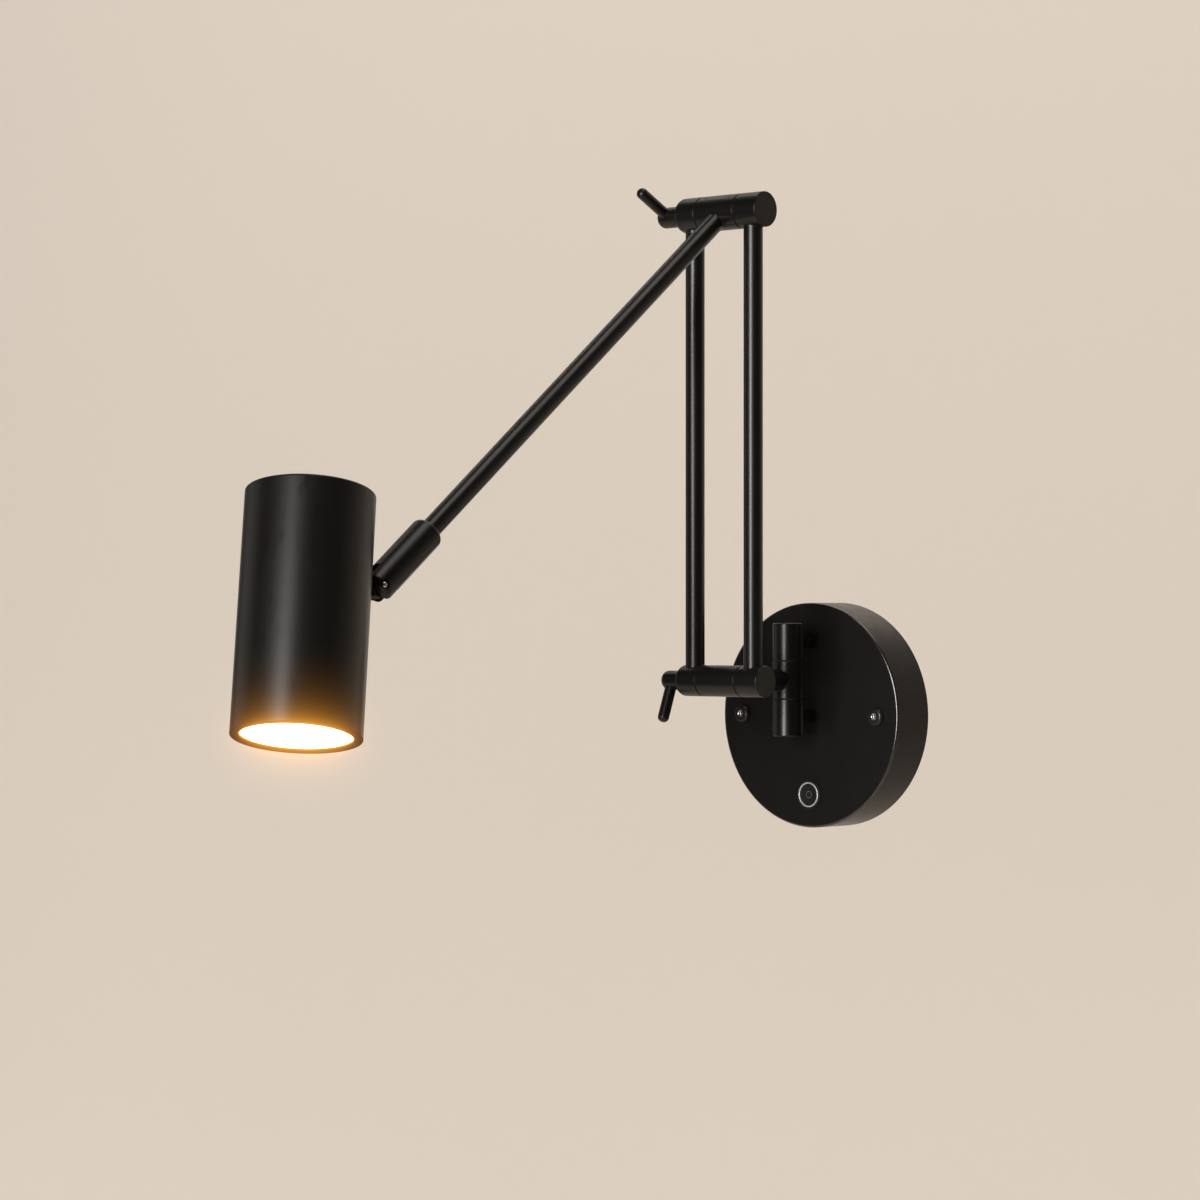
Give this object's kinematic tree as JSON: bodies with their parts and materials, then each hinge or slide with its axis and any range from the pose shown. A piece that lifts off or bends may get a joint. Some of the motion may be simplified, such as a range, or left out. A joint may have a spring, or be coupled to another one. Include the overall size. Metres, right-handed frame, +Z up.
{
  "type": "adjustable wall light",
  "caption": "Black wall light: round canopy with push button, swivel hinge, twin upright rods between clamped friction barrels, long upper arm and cylindrical lamp head.",
  "frame": {"origin": "centre of the wall plate's two screw slots, on the wall plane", "axes": "+X along the wall to the right seen from the room, +Y into the wall, +Z up"},
  "size_m": [0.12, 0.4323, 0.3368],
  "materials": {
    "black_paint": "satin",
    "black_aluminium": "satin",
    "zinc_steel": "satin",
    "black_steel": "satin",
    "brass": "satin",
    "bright_ring": "polished",
    "black_plastic": "matte",
    "washer_plastic": "matte",
    "white_plastic": "satin",
    "opal_plastic": "satin",
    "yellow_source": "satin",
    "bare_aluminium": "satin"
  },
  "bodies": {
    "canopy": {"canopy_cover": "black_paint", "wall_plate": "zinc_steel", "cable_bush": "black_plastic", "cover_pillars": "zinc_steel", "cover_screws": "black_steel", "driver_housing": "black_plastic", "driver_screws": "zinc_steel", "terminal_block": "white_plastic", "terminal_screws": "brass", "earth_screw": "brass", "button_housing": "black_plastic", "button_ring": "bright_ring", "button_nut": "black_steel", "switch_body": "black_plastic", "hinge_knuckle_upper": "black_aluminium", "hinge_knuckle_lower": "black_aluminium", "hinge_pin": "zinc_steel", "hinge_washers": "washer_plastic", "hinge_post_upper": "black_aluminium", "hinge_post_lower": "black_aluminium", "backing_plate": "zinc_steel", "post_washers": "zinc_steel", "post_nuts": "zinc_steel"},
    "button": {"button_cap": "black_plastic"},
    "swivel_arm": {"hinge_knuckle_middle": "black_aluminium", "swivel_stub": "black_aluminium", "lower_barrel_middle": "black_aluminium"},
    "lower_arm": {"lower_barrel_left": "black_aluminium", "lower_barrel_right": "black_aluminium", "lower_barrel_washers": "washer_plastic", "rod_left": "black_aluminium", "rod_right": "black_aluminium", "upper_barrel_left": "black_aluminium", "upper_barrel_right": "black_aluminium", "upper_barrel_washers": "washer_plastic"},
    "lower_clamp": {"lower_clamp_bolt": "zinc_steel", "lower_clamp_boss": "black_aluminium", "lower_clamp_lever": "black_aluminium"},
    "upper_clamp": {"upper_clamp_bolt": "zinc_steel", "upper_clamp_boss": "black_aluminium", "upper_clamp_lever": "black_aluminium"},
    "upper_arm": {"upper_barrel_middle": "black_aluminium", "upper_arm_tube": "black_aluminium"},
    "sleeve": {"arm_sleeve": "black_aluminium", "sleeve_grub_screw": "black_steel", "tilt_pin": "zinc_steel", "tilt_washers": "washer_plastic"},
    "head": {"tilt_lug": "black_aluminium", "lug_screws": "zinc_steel", "head_shell": "black_aluminium", "trim_ring": "black_aluminium", "diffuser": "opal_plastic", "reflector": "bare_aluminium", "light_source": "yellow_source", "light_board": "white_plastic", "board_screws": "zinc_steel", "heat_sink": "bare_aluminium"}
  },
  "joints": [
    {"name": "arm_swivel", "type": "hinge", "parent": "canopy", "child": "swivel_arm", "pos_m": [0, -0.0436, 0.0192], "axis": [0, 0, 1], "range_deg": [-60, 75]},
    {"name": "lower_arm_tilt", "type": "hinge", "parent": "swivel_arm", "child": "lower_arm", "pos_m": [0, -0.0957, 0.0192], "axis": [1, 0, 0], "range_deg": [-15, 100]},
    {"name": "upper_arm_tilt", "type": "hinge", "parent": "lower_arm", "child": "upper_arm", "pos_m": [0, -0.0957, 0.2628], "axis": [-1, 0, 0], "range_deg": [-48, 75]},
    {"name": "head_swivel", "type": "hinge", "parent": "upper_arm", "child": "sleeve", "pos_m": [0, -0.3466, 0.06677], "axis": [0, -0.788, -0.6157], "range_deg": [-90, 170]},
    {"name": "head_tilt", "type": "hinge", "parent": "sleeve", "child": "head", "pos_m": [0, -0.3466, 0.06677], "axis": [-0.9673, 0.1562, -0.2], "range_deg": [-90, 38]},
    {"name": "lower_clamp_turn", "type": "hinge", "parent": "lower_arm", "child": "lower_clamp", "pos_m": [0, -0.0957, 0.0192], "axis": [-1, 0, 0], "range_deg": [-30, 120]},
    {"name": "upper_clamp_turn", "type": "hinge", "parent": "lower_arm", "child": "upper_clamp", "pos_m": [0, -0.0957, 0.2628], "axis": [-1, 0, 0], "range_deg": [-100, 50]},
    {"name": "button_press", "type": "slide", "parent": "canopy", "child": "button", "axis": [0, 1, 0], "range_m": [0, 0.001], "stiffness_N_per_m": 1200, "springref_m": -0.001}
  ]
}
